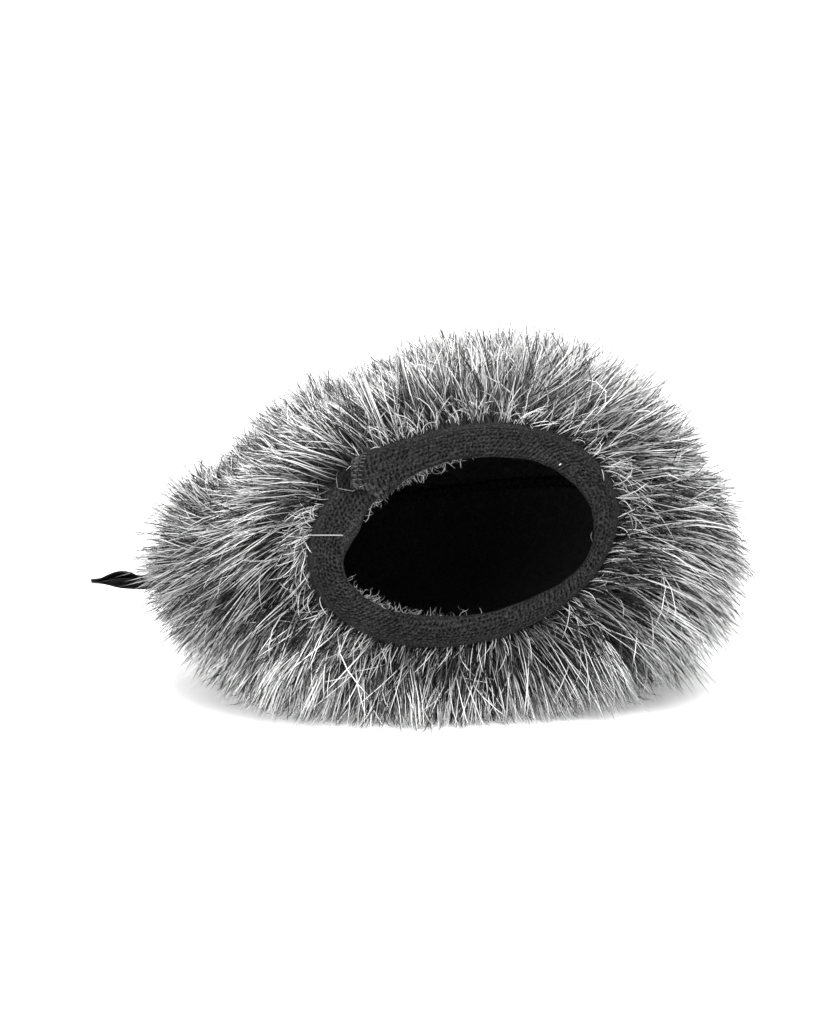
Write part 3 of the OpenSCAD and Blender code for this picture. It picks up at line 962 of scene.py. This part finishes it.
def make_tag():
    """One ribbon, sewn into the seam by both ends, with its fold standing out of the pile."""
    steps = 60
    tip_r = 0.2
    tip_x = -TAG_REACH - 0.7 + tip_r
    t = np.linspace(0, 1, steps)
    x_leg = TAG_ROOT_X + (tip_x - TAG_ROOT_X) * t
    free = np.clip((TAG_FLIP_X - x_leg) / (TAG_FLIP_X - tip_x), 0, 1)
    half = 0.3 + (tip_r - 0.3) * free
    bulge = 1.35 * np.sin(np.pi * free**1.3) ** 2
    turn = np.linspace(0.5 * math.pi, -0.5 * math.pi, 15)[1:-1]
    x = np.concatenate([x_leg, tip_x - tip_r * np.cos(turn), x_leg[::-1]])
    z = np.concatenate([half, tip_r * np.sin(turn), -half[::-1]])
    opening = np.concatenate([bulge * 2.9, 0 * turn, -bulge[::-1] * 0.1])
    width = np.linspace(-TAG_W / 2, TAG_W / 2, 41)
    thick = 0.13
    tangent = unit(np.stack([np.gradient(x), np.gradient(z + opening)], -1))
    normal_x, normal_z = tangent[:, 1], -tangent[:, 0]

    def strip(offset):
        px = (x + normal_x * offset)[:, None]
        open_side = 1 - 0.97 * smooth(width[None] / TAG_W + 0.6)
        pz = (z + normal_z * offset)[:, None] + opening[:, None] * open_side
        out = np.clip((TAG_FLIP_X - px) / (TAG_FLIP_X - tip_x), 0, 1.05)
        edge = (np.abs(width) / (TAG_W / 2)) ** 6
        curl = 0.5 * out * (width[None] / (TAG_W / 2)) ** 2
        narrow = 1 - 0.08 * out**2
        twist = -np.radians(11) * smooth((out - 0.6) / 0.4)
        y = width[None] * narrow
        droop = 2.6 * smooth((-BAG_HALF_W - px) / 12)
        droop = droop - 0.17 * np.maximum(0, -BAG_HALF_W - PILE_T - px)
        pz = pz + curl - droop + 0.05 * edge
        return place(px, TAG_Y + y * np.cos(twist), pz + y * np.sin(twist))

    grid = np.concatenate([strip(thick), strip(-thick)[::-1]])
    obj = grid_mesh("folded_ribbon", grid, wrap_rows=True)
    close_ends(obj)
    selvedge = 1 + 1.1 * np.exp(-(((np.abs(width) - TAG_W / 2 + 0.45) / 0.22) ** 2))
    ribs = 1 + 0.2 * np.sin(np.arange(grid.shape[0]) * 2.2)
    paint(obj, "ribbon", (RIBBON_SHADE * selvedge[None] * ribs[:, None]).ravel())
    finish_piece(obj, SATIN, ["ribbon_tag", "ribbon_tag_root"])
    start, end = (place(TAG_FLIP_X + dx, TAG_Y, 0.0) * MM for dx in (2.5, -2.5))
    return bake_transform(obj)


def close_ends(obj):
    """Fills the open rims of a mesh."""
    work = bmesh.new()
    work.from_mesh(obj.data)
    rims = [edge for edge in work.edges if edge.is_boundary]
    bmesh.ops.holes_fill(work, edges=rims, sides=0)
    bmesh.ops.recalc_face_normals(work, faces=work.faces)
    work.to_mesh(obj.data)
    work.free()


# ---- Loose fibres round the mouth ----

# Centre and spread in degrees round the mouth, and number of fibres
FUZZ_CLUSTERS = [(122, 9, 150), (104, 11, 190), (224, 15, 140), (250, 9, 50), (330, 14, 8)]


def curls(root, heading, length, coil, turns, points=8):
    """Fibres that wind round their own headings, as (fibres, points, 3)."""
    t = np.linspace(0, 1, points)[None, :, None]
    side = unit(np.cross(heading, rng.normal(0, 1, heading.shape)))[:, None]
    other = np.cross(heading[:, None], side)
    angle = (t + 0.02) * turns[:, None, None] * TAU
    wind = side * (np.cos(angle) - 1) + other * np.sin(angle)
    return root[:, None] + heading[:, None] * t * length[:, None, None] + wind * coil[:, None, None]


def make_mouth_fuzz():
    """Curly pale fibres of the pile's raw edge that stick out under the binding in the mouth."""
    v = np.concatenate([np.radians(rng.normal(*cluster)) for cluster in FUZZ_CLUSTERS])
    count = len(v)
    q = LIP_Q + rng.uniform(0.6, 3.9, count)
    root = on_tape(q, v, -0.1)
    centre = surface(0.0, 0.0) / 2 + surface(0.0, math.pi) / 2
    heading = unit(unit((centre - root) * [1, 0.2, 1]) + rng.normal(0, 0.75, (count, 3)))
    length = rng.uniform(0.8, 3.6, count)
    coil = rng.uniform(0.2, 0.75, count)
    paths = curls(root, heading, length, coil, rng.uniform(0.3, 1.3, count))
    # The fuzz darkens towards its roots under the lip: partly the fibres' own dark bases, partly
    # painted shade.
    shade = rng.uniform(0.06, 0.5, count)[:, None] * np.array([0.5, 0.8, 1, 1, 1, 1, 1, 1])
    radius = 0.075 * np.array([1, 1, 1, 1, 0.95, 0.8, 0.6, 0.2])
    obj = tube_mesh("mouth_fuzz", paths, radius, pointed=True, cells=math.ceil(math.sqrt(count)))
    paint(obj, "fibre", ring_shade(shade, 3))
    set_material(obj, PILE)
    return across_seam(obj)


def make_loose_hairs():
    """A few single fibres that lie on the binding or stand at its lip."""
    t = np.linspace(0, 1, 12)
    across = on_tape(7.6 - 9 * t, np.radians(156.5 + 4.6 * t), 0.25 + 0.1 * np.sin(t * 3))
    q = LIP_Q - 0.2 - 1.2 * np.sin(t * 2.6)
    standing = on_tape(q, np.radians(-26 + 7.5 * t), 0.35 + 0.6 * t)
    q = LIP_Q + 0.5 + 0.9 * np.sin(t * 7)
    along_lip = on_tape(q, np.radians(112 + 33 * t), 0.6 + 0.7 * np.sin(t * 9))
    speck = on_tape(6.1 + 0.3 * t, np.radians(36.5 + 0.4 * t), 0.2 + 0 * t)
    paths = np.stack([across, standing, along_lip, speck])
    radius = np.array([0.17, 0.12, 0.1, 0.2])[:, None]
    sides = 5
    obj = tube_mesh("loose_hairs", paths, radius, sides=sides)
    shade = np.repeat([0.28, 0.16, 0.22, 0.5], len(t) * sides)
    paint(obj, "fibre", shade)
    set_material(obj, PILE)
    return across_seam(obj)


make_pile()
backing = make_backing()
liner = make_liner()
make_seam()
make_seam_thread()
binding = make_binding()
make_lap_stitches()
make_end_thread()
make_binding_stitches()
tag = make_tag()
make_mouth_fuzz()
make_loose_hairs()

# ---- Studio ----

MOUTH = Vector(surface(0.0, 0.0) + surface(0.0, math.pi)) / 2 * MM
CAMERA_AZIMUTH = math.radians(-8)
CAMERA_ELEVATION = math.radians(11)
CAMERA_DISTANCE = 0.674
CAMERA_LENS = 100
AIM_RIGHT = -0.0109
AIM_UP = 0.0059
ROOM_LIGHT = 0.86
FLOOR_SHADE = 0.93
FLOOR_GLOW = 0.25


def make_camera():
    cos_e, sin_e = math.cos(CAMERA_ELEVATION), math.sin(CAMERA_ELEVATION)
    back = Vector((math.sin(CAMERA_AZIMUTH) * cos_e, -math.cos(CAMERA_AZIMUTH) * cos_e, sin_e))
    right = Vector((math.cos(CAMERA_AZIMUTH), math.sin(CAMERA_AZIMUTH), 0))
    up = back.cross(right)
    data = bpy.data.cameras.new("camera")
    data.lens = CAMERA_LENS
    data.sensor_width = 36
    data.clip_start = 0.01
    camera = bpy.data.objects.new("camera", data)
    camera.matrix_world = Matrix.Translation(
        MOUTH + back * CAMERA_DISTANCE + right * AIM_RIGHT + up * AIM_UP
    ) @ (back.to_track_quat("Z", "Y").to_matrix().to_4x4())
    bpy.context.scene.collection.objects.link(camera)
    bpy.context.scene.camera = camera


def area_light(name, location, size, power, target=(0, 0, 0.04)):
    data = bpy.data.lights.new(name, "AREA")
    data.shape = "RECTANGLE"
    data.size, data.size_y = size
    data.energy = power
    light = bpy.data.objects.new(name, data)
    direction = Vector(location) - Vector(target)
    turn = direction.to_track_quat("Z", "Y").to_matrix().to_4x4()
    light.matrix_world = Matrix.Translation(location) @ turn
    bpy.context.scene.collection.objects.link(light)


def make_studio():
    size, back, bend, height = 12.0, 0.8, 0.6, 2.2
    steps = 24
    profile = [(-size, 0.0), (back, 0.0)]
    for i in range(1, steps + 1):
        angle = i / steps * math.pi / 2
        profile.append((back + bend * math.sin(angle), bend * (1 - math.cos(angle))))
    profile.append((back + bend, height))
    y, z = np.array(profile).T / MM
    x = np.linspace(-size, size, 3)[:, None] / MM
    grid = np.stack(np.broadcast_arrays(x, y[None], z[None]), -1)
    floor = grid_mesh("floor", grid)
    shader = Shader("floor", roughness=0.6)
    shader.surface.inputs["Base Color"].default_value = (*grey(FLOOR_SHADE), 1)
    shader.surface.inputs["Emission Color"].default_value = (1, 1, 1, 1)
    shader.surface.inputs["Emission Strength"].default_value = FLOOR_GLOW
    set_material(floor, shader.material)

    world = bpy.data.worlds.new("studio")
    world.use_nodes = True
    world.node_tree.nodes["Background"].inputs["Color"].default_value = (1, 1, 1, 1)
    world.node_tree.nodes["Background"].inputs["Strength"].default_value = ROOM_LIGHT
    bpy.context.scene.world = world
    area_light("key", (0.12, -0.75, 1.15), size=(0.9, 0.7), power=21)
    area_light("fill", (-0.95, -0.8, 0.34), size=(1.1, 0.6), power=8)
    area_light("back", (0.1, 0.9, 1.0), size=(1.2, 0.6), power=10)
    bpy.context.scene.view_settings.view_transform = "Standard"


make_camera()
make_studio()
